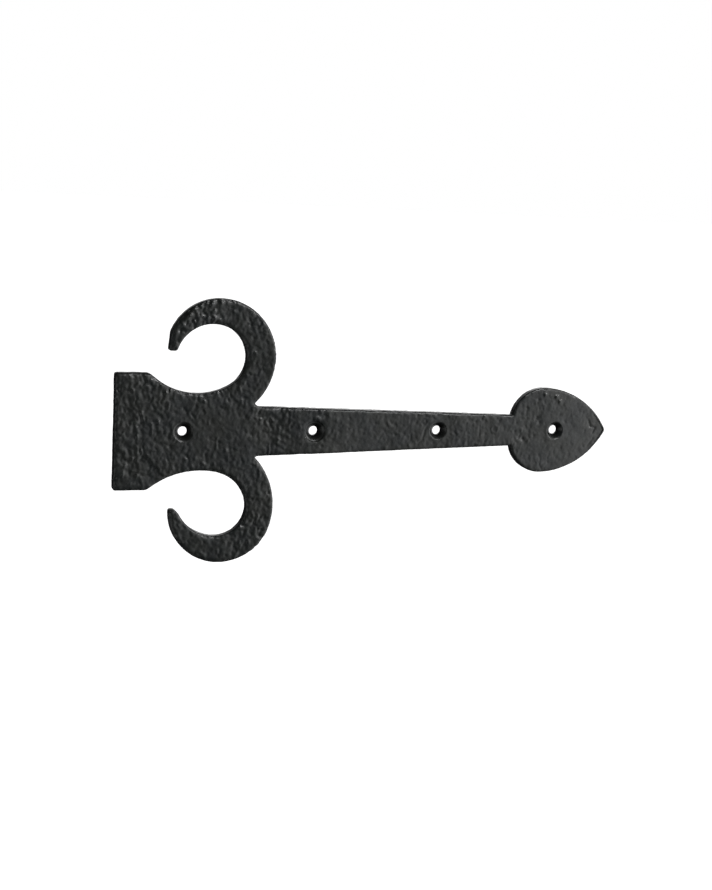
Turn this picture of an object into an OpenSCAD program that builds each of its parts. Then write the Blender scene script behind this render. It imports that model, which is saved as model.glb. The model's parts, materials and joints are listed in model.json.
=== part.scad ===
// Hinge front: one flat iron casting, screwed on a door beside its working hinge.
// A straight butt end, a neck with two scrolls, a tapered strap and a leaf-shaped end.
// The plate stands in the XZ plane. Its back is Y = 0 and its face looks toward -Y.
// The origin is the axis of the first screw hole, where it meets the back.

/* [Plate] */
// Thickness of the casting
plate_t = 5; // [4:0.5:8]

/* [Screw holes] */
// Distance from one hole to the next
hole_pitch = 76.2; // [76:0.1:80]
// Number of holes
hole_count = 4; // [4:1:6]
// Diameter of the through hole
hole_d = 5.3; // [4:0.1:6]
// Diameter of the countersink at the face
sink_d = 10.5; // [8:0.1:11]

/* [Butt end] */
// Distance from the straight end to the first hole
butt_edge = 38.5; // [36:0.5:40]
// Width of the butt end
butt_w = 65.5; // [62:0.5:68]
// Length of its straight sides
butt_len = 18.5; // [16:0.5:20]
// Rounding of its outer corners
butt_corner_r = 1.5; // [0.5:0.5:4]
// Rounding where each side turns down to the neck
shoulder_r = 5; // [1:0.5:6]

/* [Upper scroll] */
// Angle at which the shoulder runs down to the neck
upper_slope = 37; // [34:1:40]
// Length of that slope
upper_slope_len = 6.5; // [4:0.5:8]
// Angle at which the outer edge leaves the notch
upper_root = 43; // [35:1:55]
// Length of the straight stretch there
upper_root_len = 0.5; // [0.5:0.5:4]
// Width of the tip's end
upper_tip_w = 3.8; // [2:0.1:5]
// Rounding of its two corners
upper_tip_r = 0.8; // [0.3:0.1:1.2]

/* [Lower scroll] */
// Angle at which the shoulder runs up to the neck
lower_slope = 35; // [34:1:40]
// Length of that slope
lower_slope_len = 4; // [4:0.5:8]
// Angle at which the outer edge leaves the notch
lower_root = 47; // [35:1:55]
// Length of the straight stretch there
lower_root_len = 2; // [0.5:0.5:4]
// Width of the tip's end
lower_tip_w = 3; // [2:0.1:5]
// Rounding of its two corners
lower_tip_r = 1.2; // [0.3:0.1:1.2]

/* [Strap] */
// Width of the strap at the notches
strap_root_w = 28; // [24:0.5:32]
// Width of the strap where it meets the leaf
strap_end_w = 18.2; // [14:0.1:22]
// Distance from a notch to the strap's corner
strap_corner_x = 2.5; // [1:0.5:4]
// Rounding of the strap's corners at the notches
strap_corner_r = 3; // [1:0.5:4]

/* [Leaf] */
// Distance from the last hole back to the leaf's widest place
leaf_back = 8.5; // [4:0.5:12]
// Width of the leaf
leaf_w = 51; // [44:0.5:56]
// Radius of its shoulders
leaf_shoulder_r = 20.5; // [18:0.5:22]
// Radius of the long curves toward the point
leaf_cheek_r = 48; // [40:0.5:56]
// Rounding of the point
leaf_point_r = 2.5; // [1:0.5:4]

/* [Hidden] */
// The scrolls keep their form, because their arcs only meet at these values.
// Radii of the inner edges, from the slope round to the tip
upper_inner_r = [37.5, 18.5, 21];
lower_inner_r = [46.5, 24, 17, 24];
// Turn of each of those arcs
upper_inner_turn = [64, 131, 93];
lower_inner_turn = [46, 54, 113, 66];
// Radii of the outer edges, from the strap round to the tip
upper_outer_r = [34.5, 31.5, 29.5];
lower_outer_r = [40.5, 30, 29.5];
// Turn of each of those arcs
upper_outer_turn = [73, 69, 64];
lower_outer_turn = [54, 130, 33];
// Bottoms of the notches between the scrolls and the strap, the lower one mirrored up
upper_notch = [40, 16];
lower_notch = [41, 14.5];
// Middles of the tips' ends, the lower one mirrored up
upper_tip = [-7.2, 45.4];
lower_tip = [-5.4, 44.5];
// Largest turn between two points on an arc
arc_step = 3;
// How far a cutter reaches past the face that it opens
cut_over = 1;
hole_r = hole_d/2;
sink_depth = (sink_d - hole_d)/2;
butt_corner = [-butt_edge, butt_w/2];
shoulder = [-butt_edge + butt_len, butt_w/2];
leaf_x = (hole_count - 1)*hole_pitch - leaf_back;
iron_black = [0.18, 0.185, 0.185];
$fn = 64;

function unit(a) = [cos(a), sin(a)];
function angle_of(v) = atan2(v[1], v[0]);
function reversed(points) = [for (i = [len(points) - 1:-1:0]) points[i]];
function flipped(points) = [for (p = points) [p[0], -p[1]]];

// Points on an arc about c, from angle a0 to angle a1
function arc(c, r, a0, a1) =
    let (n = max(1, ceil(abs(a1 - a0)/arc_step)))
    [for (i = [0:n]) c + r*unit(a0 + (a1 - a0)*i/n)];

// The corner at b, between a and c, rounded with radius r
function rounded(a, b, c, r) =
    let (
        u = (a - b)/norm(a - b),
        v = (c - b)/norm(c - b),
        half = acos(u*v)/2,
        centre = b + r/sin(half)*(u + v)/norm(u + v),
        start = angle_of(b + u*r/tan(half) - centre),
        turn = angle_of(b + v*r/tan(half) - centre) - start
    )
    arc(centre, r, start, start + turn - 360*round(turn/360));

// Left-turning arcs, each running on smoothly from the one before.
// The first starts at p in direction h.
function arc_run(p, h, radii, turns, i = 0) =
    i == len(radii) ? [p] :
    let (
        r = radii[i],
        points = arc(p + r*unit(h + 90), r, h - 90, h - 90 + turns[i]),
        last = len(points) - 1
    )
    concat(
        [for (k = [0:last - 1]) points[k]],
        arc_run(points[last], h + turns[i], radii, turns, i + 1)
    );

// Edge of one side, from the straight end to the leaf
function scroll_edge(slope, slope_len, inner_r, inner_turn, tip, tip_w, tip_r,
                     notch, root, root_len, outer_r, outer_turn) =
    let (
        slope_end = shoulder + slope_len*unit(-slope),
        inner = arc_run(slope_end, -slope, inner_r, inner_turn),
        outer = reversed(arc_run(notch + root_len*unit(root), root, outer_r, outer_turn)),
        tip_right = tip + [tip_w/2, 0],
        tip_left = tip - [tip_w/2, 0],
        strap_corner = [notch[0] + strap_corner_x, strap_root_w/2]
    )
    concat(
        rounded([-butt_edge, 0], butt_corner, shoulder, butt_corner_r),
        rounded(butt_corner, shoulder, slope_end, shoulder_r),
        inner,
        rounded(inner[len(inner) - 1], tip_right, tip_left, tip_r),
        rounded(tip_right, tip_left, outer[0], tip_r),
        outer,
        [notch],
        rounded(notch, strap_corner, [leaf_x, strap_end_w/2], strap_corner_r)
    );

// Edge of the leaf, from the strap to the point
function leaf_edge() =
    let (
        shoulder_c = [leaf_x, leaf_w/2 - leaf_shoulder_r],
        cheek_c = [leaf_x, leaf_w/2 - leaf_cheek_r],
        joint_angle = 180 - asin((strap_end_w/2 - shoulder_c[1])/leaf_shoulder_r),
        point_reach = sqrt(pow(leaf_cheek_r - leaf_point_r, 2) - pow(cheek_c[1], 2)),
        cheek_angle = atan2(-cheek_c[1], point_reach)
    )
    concat(
        arc(shoulder_c, leaf_shoulder_r, joint_angle, 90 + arc_step),
        arc(cheek_c, leaf_cheek_r, 90, cheek_angle + 1),
        arc([leaf_x + point_reach, 0], leaf_point_r, cheek_angle, arc_step)
    );

upper_edge = scroll_edge(
    upper_slope, upper_slope_len, upper_inner_r, upper_inner_turn, upper_tip, upper_tip_w, upper_tip_r,
    upper_notch, upper_root, upper_root_len, upper_outer_r, upper_outer_turn);
lower_edge = scroll_edge(
    lower_slope, lower_slope_len, lower_inner_r, lower_inner_turn, lower_tip, lower_tip_w, lower_tip_r,
    lower_notch, lower_root, lower_root_len, lower_outer_r, lower_outer_turn);

module plate() {
    linear_extrude(plate_t)
        polygon(concat(
            upper_edge,
            leaf_edge(),
            reversed(flipped(leaf_edge())),
            reversed(flipped(lower_edge))
        ));
}

// Cuts one screw hole with its countersink. Z = 0 is the back of the plate.
module screw_hole() {
    translate([0, 0, -cut_over])
        cylinder(h = plate_t + 2*cut_over, r = hole_r);
    translate([0, 0, plate_t - sink_depth])
        cylinder(h = sink_depth + cut_over, r1 = hole_r, r2 = sink_d/2 + cut_over);
}

module hinge_front() {
    color(iron_black)
        rotate([90, 0, 0])
            difference() {
                plate();
                for (i = [0:hole_count - 1])
                    translate([i*hole_pitch, 0, 0])
                        screw_hole();
            }
}

hinge_front();
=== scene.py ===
"""Looks for the cast hinge front: a rough iron casting with four screw holes, in satin black paint."""

import json
import math

import bpy
import numpy as np
from mathutils import Matrix, Vector, noise
from mathutils.kdtree import KDTree


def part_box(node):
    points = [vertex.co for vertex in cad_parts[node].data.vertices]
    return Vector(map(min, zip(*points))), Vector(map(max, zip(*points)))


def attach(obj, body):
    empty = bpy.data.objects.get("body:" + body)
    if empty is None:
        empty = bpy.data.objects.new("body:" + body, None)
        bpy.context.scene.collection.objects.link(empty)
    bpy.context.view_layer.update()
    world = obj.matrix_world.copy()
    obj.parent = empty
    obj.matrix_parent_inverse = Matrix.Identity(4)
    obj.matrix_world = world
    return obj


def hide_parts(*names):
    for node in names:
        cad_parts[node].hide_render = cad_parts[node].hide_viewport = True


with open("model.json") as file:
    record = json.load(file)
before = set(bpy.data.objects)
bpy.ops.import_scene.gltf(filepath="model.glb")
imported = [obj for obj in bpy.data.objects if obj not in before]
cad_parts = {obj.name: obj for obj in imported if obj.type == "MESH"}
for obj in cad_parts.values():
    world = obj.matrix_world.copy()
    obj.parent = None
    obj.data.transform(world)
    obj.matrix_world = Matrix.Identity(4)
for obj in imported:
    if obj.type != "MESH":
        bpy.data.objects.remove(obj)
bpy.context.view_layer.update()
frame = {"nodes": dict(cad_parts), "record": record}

MM = 0.001
NODE = "hinge_front"

# Casting
VOXEL = 0.585 * MM
SMOOTHING = 0.5
STAIR_STEPS = 3
ROUNDING_STEPS = 1

# Screw holes
HOLE_SIDES = 72
PLUG_R = 7 * MM
SOFT_RIM = 0.6 * MM
CUT_OVER = 1 * MM

# Camera, turned to the left of the plate, above it and rolled a little
YAW = math.radians(18.95)
PITCH = math.radians(10.43)
ROLL = math.radians(3.11)
DISTANCE = 837 * MM
LENS = 58.04
AIM_FROM_CENTRE = Vector((-8.4, 2.5, -8.5)) * MM

low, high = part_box(NODE)
centre = (low + high) / 2
face_y = low.y
back_y = high.y
screw_holes = [m for m in frame["record"]["mounts"] if m["kind"] == "bore"]

# Where the leaf's hole is and where the strap runs out into the leaf, in millimetres
LEAF_X = screw_holes[-1]["pos_m"][0] / MM
LEAF_START = LEAF_X - 22


def hole_axis(mount):
    """Where a screw hole's axis meets the back of the plate."""
    return Vector((mount["pos_m"][0], back_y, mount["pos_m"][2]))


def rim_radius(mount):
    """Radius of the countersink's rim, measured on the CAD face."""
    axis = hole_axis(mount)
    reach = [
        math.hypot(v.co.x - axis.x, v.co.z - axis.z)
        for v in frame["nodes"][NODE].data.vertices
        if abs(v.co.y - face_y) < 0.01 * MM
    ]
    return max(r for r in reach if r < PLUG_R)


def reach_from_axis(points, mount):
    """Distance from each point to a screw hole's axis."""
    axis = hole_axis(mount)
    return np.hypot(points[:, 0] - axis.x, points[:, 2] - axis.z)


# ---------------------------------------------------------------- mesh helpers

def new_object(name, points, faces):
    mesh = bpy.data.meshes.new(name)
    mesh.from_pydata([tuple(p) for p in points], [], faces)
    mesh.update()
    made = bpy.data.objects.new(name, mesh)
    bpy.context.scene.collection.objects.link(made)
    return made


def copy_of(name, mesh):
    """A new object with its own copy of a mesh."""
    made = bpy.data.objects.new(name, mesh.copy())
    bpy.context.scene.collection.objects.link(made)
    return made


def lathe(name, base, profile, sides):
    """A closed solid turned round the line through base along Y, from a profile of (radius, y) points."""
    turns = [2 * math.pi * k / sides for k in range(sides)]
    points = [
        (base.x + r * math.cos(t), y, base.z + r * math.sin(t))
        for r, y in profile
        for t in turns
    ]
    faces = [
        (a * sides + k, a * sides + (k + 1) % sides, (a + 1) * sides + (k + 1) % sides, (a + 1) * sides + k)
        for a in range(len(profile) - 1)
        for k in range(sides)
    ]
    last = (len(profile) - 1) * sides
    faces.append(tuple(reversed(range(sides))))
    faces.append(tuple(range(last, last + sides)))
    return new_object(name, points, faces)


def apply_modifier(obj, kind, **settings):
    """Adds one modifier with these settings and makes its result the object's own mesh."""
    modifier = obj.modifiers.new(kind, kind)
    for key, value in settings.items():
        setattr(modifier, key, value)
    depsgraph = bpy.context.evaluated_depsgraph_get()
    mesh = bpy.data.meshes.new_from_object(obj.evaluated_get(depsgraph), depsgraph=depsgraph)
    obj.modifiers.clear()
    obj.data = mesh


def combine(obj, operation, tool):
    """Joins or cuts an object with a tool, which is used up."""
    apply_modifier(obj, "BOOLEAN", operation=operation, object=tool, solver="EXACT")
    bpy.data.objects.remove(tool)


def coordinates(obj):
    flat = np.empty(len(obj.data.vertices) * 3, np.float32)
    obj.data.vertices.foreach_get("co", flat)
    return flat.reshape(-1, 3).astype(float)


def normals(obj):
    flat = np.empty(len(obj.data.vertices) * 3, np.float32)
    obj.data.vertex_normals.foreach_get("vector", flat)
    return flat.reshape(-1, 3).astype(float)


def store(obj, name, values):
    """Keeps a number for each vertex, for the material to read."""
    attribute = obj.data.attributes.new(name, "FLOAT", "POINT")
    attribute.data.foreach_set("value", values.astype(np.float32))


# ---------------------------------------------------------------- marks of the casting

# All places are (x, z) on the face in millimetres from the first screw hole, and so are all sizes.
# Patches where the casting is rougher or, below zero, smoother: place, radius, change in lump height.
PATCHES = [
    ((-28, 2), 17, 0.5),
    ((-20, 27), 9, 0.7),
    ((20, 0), 17, -0.45),
    ((6, 66), 15, 1.0),
    ((40, 66), 12, 0.3),
    ((62, 42), 9, 0.6),
    ((48, 42), 7, -0.5),
    ((56, 0), 12, 0.5),
    ((48, -58), 13, 0.6),
    ((110, -4), 16, -0.3),
    ((190, -2), 9, -0.5),
    ((245, -4), 15, -0.3),
]
# Broad hollows and swells: place, radius, height.
HOLLOWS = [
    ((52, 0), 9, -0.45),
    ((63, 45), 5, -0.35),
    ((-34, 10), 6, -0.2),
    ((209, 0), 8, -0.25),
    ((76, 50), 30, 1.4),
    ((48, -68), 18, 0.6),
]
# The casting isn't quite straight: bows along it, as x, half length, height.
BOWS = [
    (-45, 30, 0.4),
    (80, 24, 0.8),
]
# Round beads and pits: place, radius, height.
BEADS = [
    ((220.3, 22.0), 0.95, 0.65),
    ((228.1, 20.7), 0.95, 0.65),
    ((230.5, 17.8), 0.95, 0.60),
    ((224.0, 21.4), 0.6, 0.20),
    ((225.6, 17.6), 0.7, 0.20),
    ((76.2, 7.6), 1.0, 0.40),
    ((78.6, 7.0), 0.9, 0.40),
    ((39.5, -63.6), 1.1, 0.55),
    ((13.6, 71.6), 1.1, 0.60),
    ((19.1, 72.6), 1.1, 0.60),
    ((208.8, 13.8), 1.0, -0.30),
    ((216.2, 18.6), 0.9, -0.25),
    ((216.0, 7.7), 1.1, -0.35),
    ((217.7, 4.9), 1.0, -0.35),
    ((209.0, 2.5), 1.0, -0.25),
    ((214.6, -3.3), 1.0, -0.30),
    ((201.8, -0.6), 0.8, -0.30),
    ((207.4, -5.4), 0.9, -0.25),
]
# Ridges and grooves: the points of a broken line, half width, height.
RIDGES = [
    ([(-25.8, -2), (-25.6, -12), (-24.6, -22), (-22, -30)], 0.8, 0.18),
    ([(-24, 12), (-22.4, 6)], 1.0, 0.30),
    ([(-17.6, 4.5), (-17.8, -0.5)], 0.8, 0.35),
    ([(65, 8), (67.9, 2)], 0.8, 0.20),
    ([(251, 6), (252.5, 2.4), (255.9, 1.3), (254.4, -1.8)], 0.6, -0.30),
    ([(255, -5.2), (251.5, -9.8)], 0.6, -0.25),
    ([(139.5, -8.3), (142.7, -5), (144, 1), (146.3, 4)], 0.7, -0.22),
    ([(178.8, 3), (178.8, -3)], 0.6, -0.18),
    ([(2, 62), (8, 67), (16, 69)], 0.8, -0.35),
    ([(4, 69), (7, 63)], 0.8, 0.40),
]
# A raised ring on the strap.
RING_PLACE = (188.6, 0.8)
RING_R = 2.1
RING_HALF_WIDTH = 0.7
RING_HEIGHT = 0.18
# Dabs and dents all over the face. Above the neck most lean the other way.
DAB_SEED = 7
DAB_COUNT = 4200
DAB_LEAN = 14
DAB_LEAN_ABOVE = -30
ABOVE_NECK = 45
DAB_LEAN_SPREAD = 38
DAB_HALF_LENGTH = (0.7, 1.8)
DAB_HALF_WIDTH = (0.45, 0.9)
DAB_HEIGHT = 0.17
DAB_REACH = 5

# Layers of noise: size of a feature, height, seed.
BROAD_SWELL = (15, 0.24, 1)
SMALL_SWELL = (7, 0.16, 13)
PATCHINESS = (11, 0.6, 2)
BACK_SWELL = (14, 0.10, 7)
BACK_GRAIN = (3, 0.05, 8)
WALL_SWELL = (6, 0.08, 9)
WALL_GRAIN = (2.4, 0.09, 10)

# Height of the lumps and strength of the dabs: on the strap, then what the butt end and the leaf add to it
LUMP_HEIGHTS = (0.15, 0.09, -0.07)
DAB_STRENGTHS = (0.75, 0.55, -0.3)
BUTT_FADE = (40, 75)
LEAF_FADE = (LEAF_START, LEAF_START + 12)

# Lumps, creases, pits and sand
PATCH_MIDDLE = 0.9
PATCH_RANGE = (0.3, 2.2)
LUMP_CELL = 2.4
LUMP_LEAN = math.radians(14)
LUMP_STRETCH = 1.08
LUMP_ROUGHNESS = 0.9
WARP_CELL = 4
WARP = 1.1 * MM
CREASE_CELL = 6
CREASE_SHARPNESS = 6
CREASE_DEPTH = 0.10
PIT_CELL = 2.2
PIT_START = 0.3
PIT_DEPTH = 0.35
SAND_CELL = 1.1
SAND_ON_FACE = 0.03
SAND_ON_WALLS = 0.05
SAND_ON_BACK = 0.07

# Dome of the leaf, and rolling of the face at its edges, which is narrower past the neck
DOME_DROP = 0.72
DOME_BACK = 5
DOME_REACH = 30
ROLL_WIDTH = 2.6
ROLL_WIDTH_LOSS = 1.2
ROLL_DEPTH = 0.72
ROLL_DEPTH_LOSS = 0.30
NECK_END = (60, 70)
RIGHT_ROLL_LOSS = 0.75

# Walls: they stand out a little, and the strap's upper one is nicked between these two fades
WALL_OUT = 0.20
NICKS_IN = (48, 60)
NICKS_OUT = (LEAF_START - 4, LEAF_START)
NICK_CELL = 1.8
NICK_START = 0.15
NICK_DEPTH = 0.5

# Share of the relief that is left at a screw hole's rim, and where it grows back, measured from the rim
RELIEF_AT_RIM = 0.35
RELIEF_FADE = (-1 * MM, 3 * MM)

# How squarely a point has to face forward, or backward, to count as face, or back
FACE_FADE = (0.3, 0.8)
WALL_BELOW = 0.5


def smooth_step(x, start, end):
    t = np.clip((x - start) / (end - start), 0, 1)
    return t * t * (3 - 2 * t)


def grain(points, cell, seed):
    """Smooth noise from about -1 to 1 at each point, with features about one cell (in millimetres) across."""
    shifted = points / (cell * MM) + 17.3 * seed
    return np.array([noise.noise(Vector(p)) for p in shifted])


def rough(points, cell, seed, layers):
    """Noise of several layers from about -1 to 1, each half the size of the one before."""
    shifted = points / (cell * MM) + 17.3 * seed
    return np.array([noise.fractal(Vector(p), LUMP_ROUGHNESS, 2.0, layers) for p in shifted])


def layer(points, cell, height, seed):
    """One of the noise layers listed above."""
    return height * grain(points, cell, seed)


def leaned(points, lean, stretch):
    """Points turned in the plate's plane and shortened upward, so that noise on them runs long."""
    c, s = math.cos(lean), math.sin(lean)
    turned = points.copy()
    turned[:, 0] = c * points[:, 0] + s * points[:, 2]
    turned[:, 2] = (-s * points[:, 0] + c * points[:, 2]) / stretch
    return turned


def reach_from(x, z, place):
    return np.hypot(x - place[0], z - place[1])


def round_marks(x, z, marks):
    """The sum of smooth round marks, each (place, radius, height)."""
    total = np.zeros(len(x))
    for place, radius, height in marks:
        total += height * np.exp(-((reach_from(x, z, place) / radius) ** 2))
    return total


def line_marks(x, z):
    """Ridges and grooves along broken lines."""
    total = np.zeros(len(x))
    for line, width, height in RIDGES:
        nearest = np.full(len(x), np.inf)
        for (ax, az), (bx, bz) in zip(line, line[1:]):
            along = ((x - ax) * (bx - ax) + (z - az) * (bz - az)) / ((bx - ax) ** 2 + (bz - az) ** 2)
            along = np.clip(along, 0, 1)
            away = np.hypot(x - ax - along * (bx - ax), z - az - along * (bz - az))
            nearest = np.minimum(nearest, away)
        total += height * np.exp(-((nearest / width) ** 2))
    return total


def dabs(x, z):
    """Short leaning dabs and dents, scattered over the whole face."""
    draw = np.random.default_rng(DAB_SEED)
    order = np.argsort(x)
    x_sorted = x[order]
    z_sorted = z[order]
    total = np.zeros(len(x))
    for _ in range(DAB_COUNT):
        at_x = draw.uniform(low.x / MM, high.x / MM)
        at_z = draw.uniform(low.z / MM, high.z / MM)
        middle_lean = DAB_LEAN_ABOVE if at_z > ABOVE_NECK else DAB_LEAN
        lean = math.radians(draw.normal(middle_lean, DAB_LEAN_SPREAD))
        half_length = draw.uniform(*DAB_HALF_LENGTH)
        half_width = draw.uniform(*DAB_HALF_WIDTH)
        height = draw.normal(0, DAB_HEIGHT)
        first, last = np.searchsorted(x_sorted, [at_x - DAB_REACH, at_x + DAB_REACH])
        dx = x_sorted[first:last] - at_x
        dz = z_sorted[first:last] - at_z
        across = (dx * math.cos(lean) + dz * math.sin(lean)) / half_width
        along = (dz * math.cos(lean) - dx * math.sin(lean)) / half_length
        total[first:last] += height * np.exp(-across * across - along * along)
    in_order = np.empty(len(x))
    in_order[order] = total
    return in_order


def by_place(x, amounts):
    """An amount for the strap, with what the butt end and the leaf add to it."""
    strap, butt, leaf = amounts
    return strap + butt * (1 - smooth_step(x, *BUTT_FADE)) + leaf * smooth_step(x, *LEAF_FADE)


def marks(x, z):
    """Everything on the face that has a place of its own: bows, hollows, beads, ridges and the ring."""
    bow = sum(height * np.exp(-(((x - middle) / half) ** 2)) for middle, half, height in BOWS)
    from_ring = (reach_from(x, z, RING_PLACE) - RING_R) / RING_HALF_WIDTH
    ring = RING_HEIGHT * np.exp(-(from_ring ** 2))
    return bow + round_marks(x, z, HOLLOWS) + round_marks(x, z, BEADS) + line_marks(x, z) + ring


def edge_reach(points, on_wall):
    """Distance in millimetres from each point to the nearest wall, and how far to the right that wall is."""
    walls = points[on_wall] / MM
    tree = KDTree(len(walls))
    for index, (x, _, z) in enumerate(walls):
        tree.insert((x, 0, z), index)
    tree.balance()
    nearest = [tree.find((x, 0, z)) for x, _, z in points / MM]
    reach = np.array([away for _, _, away in nearest])
    across = np.array([place.x for place, _, _ in nearest]) - points[:, 0] / MM
    return reach, across / np.maximum(reach, 0.1)


def edge_roll(points, on_wall):
    """How far the face rolls down at its edges, less where the edge is on the right."""
    past_neck = smooth_step(points[:, 0] / MM, *NECK_END)
    width = ROLL_WIDTH - ROLL_WIDTH_LOSS * past_neck
    reach, rightward = edge_reach(points, on_wall)
    roll = np.clip(1 - reach / width, 0, 1) ** 2 * (1 - RIGHT_ROLL_LOSS * smooth_step(rightward, 0, 0.7))
    return (ROLL_DEPTH - ROLL_DEPTH_LOSS * past_neck) * roll


def face_relief(points, sand, on_wall):
    """Height of the face in millimetres, and the height of its lumps alone."""
    x = points[:, 0] / MM
    z = points[:, 2] / MM
    warp = np.stack([grain(points, WARP_CELL, 11), 0 * x, grain(points, WARP_CELL, 12)], -1)
    warped = points + WARP * warp
    swell = layer(points, *BROAD_SWELL) + layer(points, *SMALL_SWELL)
    patchy = PATCH_MIDDLE + layer(points, *PATCHINESS) + round_marks(x, z, PATCHES)
    patch = np.clip(patchy, *PATCH_RANGE)
    lumps = rough(leaned(warped, LUMP_LEAN, LUMP_STRETCH), LUMP_CELL, 3, 2)
    creases = -np.clip(1 - CREASE_SHARPNESS * np.abs(grain(warped, CREASE_CELL, 4)), 0, 1)
    pits = -np.clip(grain(points, PIT_CELL, 5) - PIT_START, 0, 1)
    dome = -DOME_DROP * smooth_step(x, *LEAF_FADE) * ((x - LEAF_X + DOME_BACK) / DOME_REACH) ** 2
    form = swell + marks(x, z) + dome - edge_roll(points, on_wall)
    bumps = by_place(x, LUMP_HEIGHTS) * lumps + by_place(x, DAB_STRENGTHS) * dabs(x, z)
    skin = patch * (bumps + CREASE_DEPTH * creases)
    return form + skin + PIT_DEPTH * pits + SAND_ON_FACE * sand, lumps


def wall_relief(points, sand):
    """Height of the walls in millimetres."""
    x = points[:, 0] / MM
    on_strap = smooth_step(x, *NICKS_IN) * (1 - smooth_step(x, *NICKS_OUT))
    nicks = on_strap * (points[:, 2] > 0) * np.clip(grain(points, NICK_CELL, 14) - NICK_START, 0, 1)
    wall = WALL_OUT + layer(points, *WALL_SWELL) + layer(points, *WALL_GRAIN) + SAND_ON_WALLS * sand
    return wall - NICK_DEPTH * nicks


def relief(points, facing):
    """Height of the cast surface above the plain plate, in metres, and the height of its lumps alone.

    facing is 1 on the face, 0 on the walls and -1 on the back.
    """
    sand = grain(points, SAND_CELL, 6)
    face, lumps = face_relief(points, sand, np.abs(facing) < WALL_BELOW)
    back = layer(points, *BACK_SWELL) + SAND_ON_BACK * sand + layer(points, *BACK_GRAIN)
    on_face = smooth_step(facing, *FACE_FADE)
    on_back = smooth_step(-facing, *FACE_FADE)
    height = on_face * face + on_back * back + (1 - on_face - on_back) * wall_relief(points, sand)
    return height * MM, on_face * lumps


# ---------------------------------------------------------------- casting

def plain_plate():
    """The CAD plate with its screw holes filled in."""
    plate = copy_of("plain_plate", frame["nodes"][NODE].data)
    for mount in screw_holes:
        profile = [(PLUG_R, face_y), (PLUG_R, back_y)]
        combine(plate, "UNION", lathe("plug", hole_axis(mount), profile, HOLE_SIDES))
    return plate


def cast_plate():
    """The plate without its holes: the CAD shape with softened edges and the relief of a sand casting."""
    plain = plain_plate()
    casting = copy_of("hinge_casting", plain.data)
    apply_modifier(casting, "REMESH", mode="VOXEL", voxel_size=VOXEL, adaptivity=0)
    apply_modifier(casting, "SMOOTH", factor=SMOOTHING, iterations=STAIR_STEPS)
    apply_modifier(casting, "SHRINKWRAP", target=plain, wrap_method="NEAREST_SURFACEPOINT")
    apply_modifier(casting, "SMOOTH", factor=SMOOTHING, iterations=ROUNDING_STEPS)
    bpy.data.objects.remove(plain)
    points = coordinates(casting)
    outward = normals(casting)
    height, lumps = relief(points, -outward[:, 1])
    for mount in screw_holes:
        beyond = smooth_step(reach_from_axis(points, mount) - rim_radius(mount), *RELIEF_FADE)
        height *= RELIEF_AT_RIM + (1 - RELIEF_AT_RIM) * beyond
    points += outward * height[:, None]
    casting.data.vertices.foreach_set("co", points.astype(np.float32).ravel())
    casting.data.update()
    # The lump heights are kept for the material, which darkens the low ones as painted shade and lightens the
    # high ones as wear
    store(casting, "lumps", lumps)
    return casting


def hole_profile(bore, rim):
    """Profile of a cutter for a countersunk hole: soft at the back, a cone, and a rim that flares out."""
    depth = rim - bore
    return [
        (bore + SOFT_RIM, back_y + CUT_OVER),
        (bore + SOFT_RIM, back_y + 0.02 * MM),
        (bore + 0.3 * SOFT_RIM, back_y - 0.3 * SOFT_RIM),
        (bore, back_y - SOFT_RIM),
        (bore, face_y + depth + 0.15 * MM),
        (bore + 0.1 * MM, face_y + depth - 0.05 * MM),
        (rim - SOFT_RIM, face_y + SOFT_RIM),
        (rim - 0.3 * SOFT_RIM, face_y + 0.4 * SOFT_RIM),
        (rim + 0.6 * SOFT_RIM, face_y + 0.02 * MM),
        (rim + 1.4 * SOFT_RIM, face_y - 0.25 * MM),
        (rim + 1.8 * SOFT_RIM, face_y - CUT_OVER),
    ]


def drill(casting):
    """Cuts the countersunk screw holes, and stores which points lie deep inside them, where the material
    paints shade.
    """
    for mount in screw_holes:
        profile = hole_profile(mount["dims"]["r_mm"] * MM, rim_radius(mount))
        combine(casting, "DIFFERENCE", lathe("cutter", hole_axis(mount), profile, HOLE_SIDES))
    points = coordinates(casting)
    deep = smooth_step(points[:, 1], face_y + 0.5 * MM, face_y + 1.0 * MM)
    in_a_hole = np.zeros(len(points), bool)
    for mount in screw_holes:
        in_a_hole |= reach_from_axis(points, mount) < rim_radius(mount) + 0.3 * MM
    # Painted shade: the material lays near black over these deep points inside the holes
    store(casting, "painted_hole_shade", deep * in_a_hole)
    return casting


# ---------------------------------------------------------------- material

# Colours of the paint from patch to patch, and how the height of the lumps changes them: painted shade
# darkens the low spots between lumps, and wear lightens the high spots
PAINT_TONES = [
    (0.36, (0.0125, 0.0152, 0.0160, 1)),
    (0.52, (0.0138, 0.0162, 0.0150, 1)),
    (0.66, (0.0165, 0.0182, 0.0162, 1)),
]
# Multipliers by lump height: painted shade on the low spots between lumps, wear on the high spots
HOLLOW_SHADE_AND_WEAR_TONES = [
    (0.0, (0.80, 0.80, 0.80, 1)),
    (0.45, (1.12, 1.13, 1.12, 1)),
    (0.75, (1.75, 1.78, 1.74, 1)),
]
# Painted shade: a near black laid on the deep insides of the screw holes, where shade falls
PAINTED_HOLE_SHADE_COLOUR = (0.003, 0.003, 0.003, 1)
BLOTCH = 14 * MM
DULL_PATCH = 5 * MM
ROUGHNESS_RANGE = (0.27, 0.40)
# Bumps of the paint: size of a feature, detail, depth, strength.
COARSE_BUMP = (0.9 * MM, 3, 0.07 * MM, 0.55)
FINE_BUMP = (0.3 * MM, 2, 0.012 * MM, 0.4)


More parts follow.
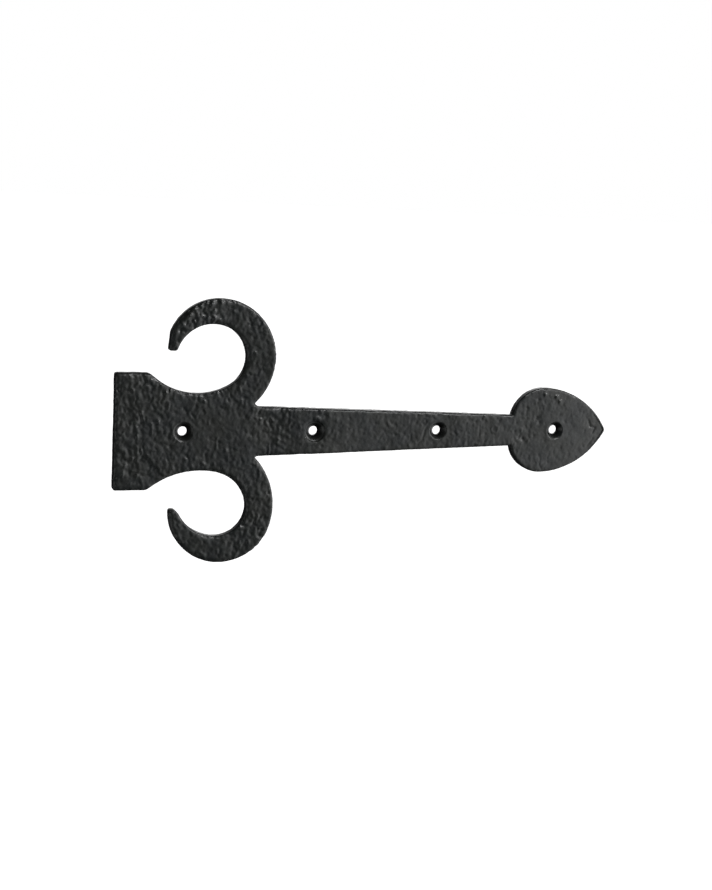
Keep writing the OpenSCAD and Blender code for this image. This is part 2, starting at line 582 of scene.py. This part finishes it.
def noise_texture(tree, place, cell, detail):
    """Value of a noise texture with features about one cell across."""
    node = tree.nodes.new("ShaderNodeTexNoise")
    node.inputs["Scale"].default_value = 1 / cell
    node.inputs["Detail"].default_value = detail
    tree.links.new(place, node.inputs["Vector"])
    return node.outputs["Fac"]


def stored(tree, name):
    """Value of a number stored on the mesh."""
    node = tree.nodes.new("ShaderNodeAttribute")
    node.attribute_name = name
    return node.outputs["Fac"]


def ramp(tree, value, stops):
    """Colour from a value, through stops of (value, colour)."""
    node = tree.nodes.new("ShaderNodeValToRGB")
    elements = node.color_ramp.elements
    while len(elements) < len(stops):
        elements.new(0.5)
    for element, (position, colour) in zip(elements, stops):
        element.position = position
        element.color = colour
    tree.links.new(value, node.inputs["Fac"])
    return node.outputs["Color"]


def map_range(tree, value, source, target, interpolation="LINEAR"):
    """A value carried over from one range to another."""
    node = tree.nodes.new("ShaderNodeMapRange")
    node.interpolation_type = interpolation
    node.inputs["From Min"].default_value, node.inputs["From Max"].default_value = source
    node.inputs["To Min"].default_value, node.inputs["To Max"].default_value = target
    tree.links.new(value, node.inputs["Value"])
    return node.outputs["Result"]


def mix_colours(tree, blend):
    """An empty colour mixer."""
    node = tree.nodes.new("ShaderNodeMix")
    node.data_type = "RGBA"
    node.blend_type = blend
    return node


def bump(tree, place, cell, detail, depth, strength, under=None):
    """Surface direction with noise of that depth on top of another bump."""
    node = tree.nodes.new("ShaderNodeBump")
    node.inputs["Strength"].default_value = strength
    node.inputs["Distance"].default_value = depth
    tree.links.new(noise_texture(tree, place, cell, detail), node.inputs["Height"])
    if under:
        tree.links.new(under, node.inputs["Normal"])
    return node.outputs["Normal"]


def black_iron():
    """Satin black paint over rough cast iron: blotchy, worn lighter on the high spots, with painted shade in
    the low spots between lumps and in the holes.
    """
    material = bpy.data.materials.new("black_iron")
    material.use_nodes = True
    tree = material.node_tree
    shader = tree.nodes["Principled BSDF"]
    shader.inputs["Specular IOR Level"].default_value = 0.5
    place = tree.nodes.new("ShaderNodeTexCoord").outputs["Object"]
    worn_and_shaded = mix_colours(tree, "MULTIPLY")
    worn_and_shaded.inputs["Factor"].default_value = 1
    tree.links.new(ramp(tree, noise_texture(tree, place, BLOTCH, 3), PAINT_TONES), worn_and_shaded.inputs["A"])
    # Painted shade in the low spots between lumps, and wear lightening the high spots
    tree.links.new(ramp(tree, stored(tree, "lumps"), HOLLOW_SHADE_AND_WEAR_TONES), worn_and_shaded.inputs["B"])
    # Painted shade: near black over the deep insides of the screw holes
    shaded = mix_colours(tree, "MIX")
    shaded.inputs["B"].default_value = PAINTED_HOLE_SHADE_COLOUR
    tree.links.new(stored(tree, "painted_hole_shade"), shaded.inputs["Factor"])
    tree.links.new(worn_and_shaded.outputs["Result"], shaded.inputs["A"])
    tree.links.new(shaded.outputs["Result"], shader.inputs["Base Color"])
    dullness = noise_texture(tree, place, DULL_PATCH, 4)
    tree.links.new(map_range(tree, dullness, (0.3, 0.7), ROUGHNESS_RANGE), shader.inputs["Roughness"])
    coarse = bump(tree, place, *COARSE_BUMP)
    tree.links.new(bump(tree, place, *FINE_BUMP, under=coarse), shader.inputs["Normal"])
    return material


# ---------------------------------------------------------------- studio

LIGHT_DISTANCE = 1.3
# Soft lights: name, azimuth and elevation in degrees, size in metres, brightness.
LIGHTS = [
    ("key_light", 24, 34, (0.24, 0.24), 27),
    ("rim_light", 53, 15, (0.2, 0.2), 20),
    ("left_light", -50, -22, (0.9, 0.8), 0.8),
    ("leaf_light", 44, -8, (0.5, 0.8), 0.5),
    ("back_light", 180, 22, (1.8, 0.5), 0.3),
    ("strap_light", 150, 18, (0.9, 0.5), 0.6),
]
# The room is brighter to the right, and dark overhead.
BRIGHT_SIDE = (0.97, 0, 0.24)
SIDE_RANGE = (-0.10, 0.8)
SIDE_BRIGHTNESS = (0.04, 1.52)
CEILING_RANGE = (0.35, 0.75)
CEILING_BRIGHTNESS = (1, 0.1)
FLOOR_REACH = 30
FLOOR_DROP = 400 * MM


def softbox(name, azimuth, elevation, size, brightness):
    """A soft light turned to the middle of the plate. Azimuth 0 is in front and 90 to the right."""
    turn = math.radians(azimuth)
    rise = math.radians(elevation)
    out = Vector((math.sin(turn) * math.cos(rise), -math.cos(turn) * math.cos(rise), math.sin(rise)))
    data = bpy.data.lights.new(name, "AREA")
    data.shape = "RECTANGLE"
    data.size, data.size_y = size
    data.energy = brightness * math.pi * size[0] * size[1]
    lamp = bpy.data.objects.new(name, data)
    lamp.location = centre + LIGHT_DISTANCE * out
    lamp.rotation_mode = "QUATERNION"
    lamp.rotation_quaternion = out.to_track_quat("Z", "Y")
    lamp.visible_camera = False
    bpy.context.scene.collection.objects.link(lamp)


def backdrop():
    """A world that is white to the eye, and a dim room with one brighter side to the object."""
    world = bpy.data.worlds.new("studio")
    bpy.context.scene.world = world
    world.use_nodes = True
    tree = world.node_tree
    place = tree.nodes.new("ShaderNodeTexCoord").outputs["Generated"]
    side = tree.nodes.new("ShaderNodeVectorMath")
    side.operation = "DOT_PRODUCT"
    side.inputs[1].default_value = BRIGHT_SIDE
    tree.links.new(place, side.inputs[0])
    split = tree.nodes.new("ShaderNodeSeparateXYZ")
    tree.links.new(place, split.inputs[0])
    brightness = tree.nodes.new("ShaderNodeMath")
    brightness.operation = "MULTIPLY"
    sideways = map_range(tree, side.outputs["Value"], SIDE_RANGE, SIDE_BRIGHTNESS, "SMOOTHSTEP")
    upward = map_range(tree, split.outputs["Z"], CEILING_RANGE, CEILING_BRIGHTNESS, "SMOOTHSTEP")
    tree.links.new(sideways, brightness.inputs[0])
    tree.links.new(upward, brightness.inputs[1])
    room = tree.nodes["Background"]
    room.inputs["Color"].default_value = (1, 1, 1, 1)
    tree.links.new(brightness.outputs["Value"], room.inputs["Strength"])
    white = tree.nodes.new("ShaderNodeBackground")
    white.inputs["Color"].default_value = (1, 1, 1, 1)
    white.inputs["Strength"].default_value = 1
    mix = tree.nodes.new("ShaderNodeMixShader")
    tree.links.new(tree.nodes.new("ShaderNodeLightPath").outputs["Is Camera Ray"], mix.inputs["Fac"])
    tree.links.new(room.outputs["Background"], mix.inputs[1])
    tree.links.new(white.outputs["Background"], mix.inputs[2])
    tree.links.new(mix.outputs["Shader"], tree.nodes["World Output"].inputs["Surface"])


def floor():
    """A plain pale floor, well below the plate."""
    z = low.z - FLOOR_DROP
    corners = [(-1, -1), (1, -1), (1, 1), (-1, 1)]
    made = new_object("floor", [(a * FLOOR_REACH, b * FLOOR_REACH, z) for a, b in corners], [(0, 1, 2, 3)])
    material = bpy.data.materials.new("pale_floor")
    material.use_nodes = True
    shader = material.node_tree.nodes["Principled BSDF"]
    shader.inputs["Base Color"].default_value = (0.9, 0.9, 0.9, 1)
    shader.inputs["Roughness"].default_value = 0.9
    shader.inputs["Emission Color"].default_value = (1, 1, 1, 1)
    shader.inputs["Emission Strength"].default_value = 1
    made.data.materials.append(material)
    made.visible_diffuse = False
    made.visible_glossy = False


def camera():
    """A camera at YAW, PITCH and ROLL, aimed near the middle of the plate."""
    sight = Vector((math.sin(YAW) * math.cos(PITCH), math.cos(YAW) * math.cos(PITCH), -math.sin(PITCH)))
    level = Vector((math.cos(YAW), -math.sin(YAW), 0))
    upright = level.cross(sight)
    right = math.cos(ROLL) * level + math.sin(ROLL) * upright
    up = math.cos(ROLL) * upright - math.sin(ROLL) * level
    data = bpy.data.cameras.new("camera")
    data.lens = LENS
    eye = bpy.data.objects.new("camera", data)
    turn = Matrix((right, up, -sight)).transposed().to_4x4()
    eye.matrix_world = Matrix.Translation(centre + AIM_FROM_CENTRE - DISTANCE * sight) @ turn
    bpy.context.scene.collection.objects.link(eye)
    bpy.context.scene.camera = eye


casting = drill(cast_plate())
casting.data.materials.clear()
casting.data.materials.append(black_iron())
for polygon in casting.data.polygons:
    polygon.use_smooth = True
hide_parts(NODE)
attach(casting, "root")
backdrop()
for light in LIGHTS:
    softbox(*light)
bpy.context.scene.view_settings.view_transform = "Standard"
floor()
camera()
